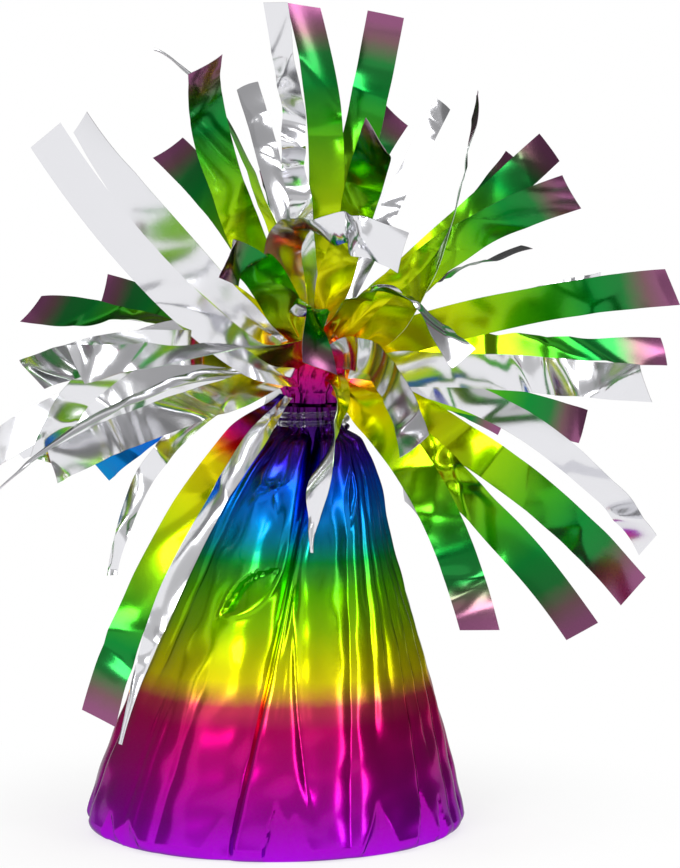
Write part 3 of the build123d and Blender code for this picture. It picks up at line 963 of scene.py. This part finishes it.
def strip_faces():
    """Quads round the strip's closed section, and a cap across each end."""
    ring = 2 * ACROSS
    around = grid_faces(ALONG, ring, close_columns=True)
    edge = np.arange(ACROSS - 1)
    cap = np.stack([edge, ring - 1 - edge, ring - 2 - edge, edge + 1], axis=-1)
    return np.concatenate([around, cap, cap[:, ::-1] + (ALONG - 1) * ring])


def make_strip(name, strip, seed, node, span=PRINT_SPAN, **form):
    """One strip as a piece, with its distance from the tie and its bare side for the finish."""
    points = strip_points(strip, seed, **form)
    shift = np.random.default_rng(seed + PRINT_SEED).uniform(-PRINT_SHIFT, PRINT_SHIFT)
    share = np.linspace(0, 1, ALONG)[:, None]
    run = print_place(mix(span[0] + shift, span[1], share))
    lane = np.linspace(0, 1, 2 * ACROSS)[None, :]
    film = np.stack(np.broadcast_arrays(run, lane), axis=-1).reshape(-1, 2)
    bare = np.tile(np.repeat([0.0, 1.0], ACROSS), ALONG)
    flat = points.reshape(-1, 3)
    return make_piece(name, flat, strip_faces(), fringe_film, node, film=film, silver=bare)


for number, strip in enumerate(FRINGE, start=1):
    look = LOOKS.get(number, {})
    make_strip(f"strip_film_{number:02d}", strip, number, f"fringe_strip_{number:02d}", **look)
print(len(FRINGE), "strips of", len(strip_faces()), "faces")

# %% [markdown]
# ## Tie, board, cup and ballast
# The tie is a clear plastic cord, two turns round the neck. It could be a bevelled curve, but a tube on a
# grid takes its place from the neck's own sizes. The board under the cone is plain grey board. The cup and
# the ballast inside can't be seen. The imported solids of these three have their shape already, so they only
# get simple finishes.

# %% Tie
TIE_DIAMETER = 1.0
TIE_TURNS = 2
TIE_PITCH = 1.45
TIE_CLEARANCE = 0.3
TIE_STEPS = 161
TIE_SIDES = 14
TIE_OVERRUN = 0.03
TIE_ABOVE_SKIRT = 1.4
TIE_ROOM = 4.6
TIE_END_STEPS = 3
TIE_END_SHARE = 0.02

clear_cord, start = new_finish("clear_cord")
where = start.node("ShaderNodeTexCoord", output="Object")
ripple = start.node("ShaderNodeTexNoise", sockets={"Vector": where, "Scale": 420.0, "Detail": 1.0})
bump = start.node("ShaderNodeBump", sockets={"Strength": 0.2, "Distance": 0.0001, "Height": ripple})
close_finish(start, {
    "Base Color": (0.93, 0.92, 0.96, 1.0), "Roughness": 0.03 + ripple * 0.06, "Transmission Weight": 1.0,
    "IOR": 1.3, "Normal": bump,
})


def tie_points():
    """A tube about a helix: height grows evenly with azimuth, and the section shrinks at both ends."""
    turns = np.linspace(-TIE_OVERRUN, TIE_TURNS + TIE_OVERRUN, TIE_STEPS)[:, None]
    angle = 2 * np.pi * turns
    reach = NECK_RADIUS + TIE_CLEARANCE + TIE_DIAMETER / 2
    bottom = SKIRT_HEIGHT + TIE_ABOVE_SKIRT + (TIE_ROOM - TIE_PITCH * TIE_TURNS) / 2
    spin = np.linspace(0, 2 * np.pi, TIE_SIDES, endpoint=False)[None, :]
    step = np.arange(TIE_STEPS)[:, None]
    from_end = np.minimum(step, step[::-1])
    half = TIE_DIAMETER / 2 * np.sqrt(np.clip(from_end / TIE_END_STEPS, TIE_END_SHARE, 1))
    out = reach + half * np.cos(spin)
    x = NECK_OFFSET + out * np.cos(angle)
    y = out * np.sin(angle)
    return np.stack([x, y, bottom + TIE_PITCH * turns + half * np.sin(spin)], axis=-1)


faces = grid_faces(TIE_STEPS, TIE_SIDES, close_columns=True)
make_piece("neck_tie_cord", tie_points().reshape(-1, 3), faces, clear_cord, "neck_tie")
print("tie of", TIE_TURNS, "turns:", len(faces), "faces")

# %% Board, cup and ballast
def speckled(name, dark, light, scale, roughness):
    """A matt finish that mottles between two colours, with a bump of the same noise."""
    material, start = new_finish(name)
    where = start.node("ShaderNodeTexCoord", output="Object")
    noise = start.node("ShaderNodeTexNoise", sockets={"Vector": where, "Scale": scale, "Detail": 6.0})
    bump = start.node("ShaderNodeBump", sockets={"Strength": 0.4, "Distance": 0.0001, "Height": noise})
    colour = noise.blend((*linear(*dark), 1.0), (*linear(*light), 1.0))
    close_finish(start, {"Base Color": colour, "Roughness": roughness, "Normal": bump})
    return material


CORE_FINISHES = {
    "base_disc": speckled("grey_board", (132, 122, 108), (172, 162, 146), 900.0, 0.9),
    "ballast_cup": speckled("cup_plastic", (206, 206, 202), (222, 222, 218), 300.0, 0.5),
    "ballast_fill": speckled("cast_ballast", (126, 120, 110), (176, 170, 160), 500.0, 0.95),
}
for node, material in CORE_FINISHES.items():
    mesh = frame["nodes"][node].data
    mesh.materials.clear()
    mesh.materials.append(material)
print("core finishes:", len(CORE_FINISHES))
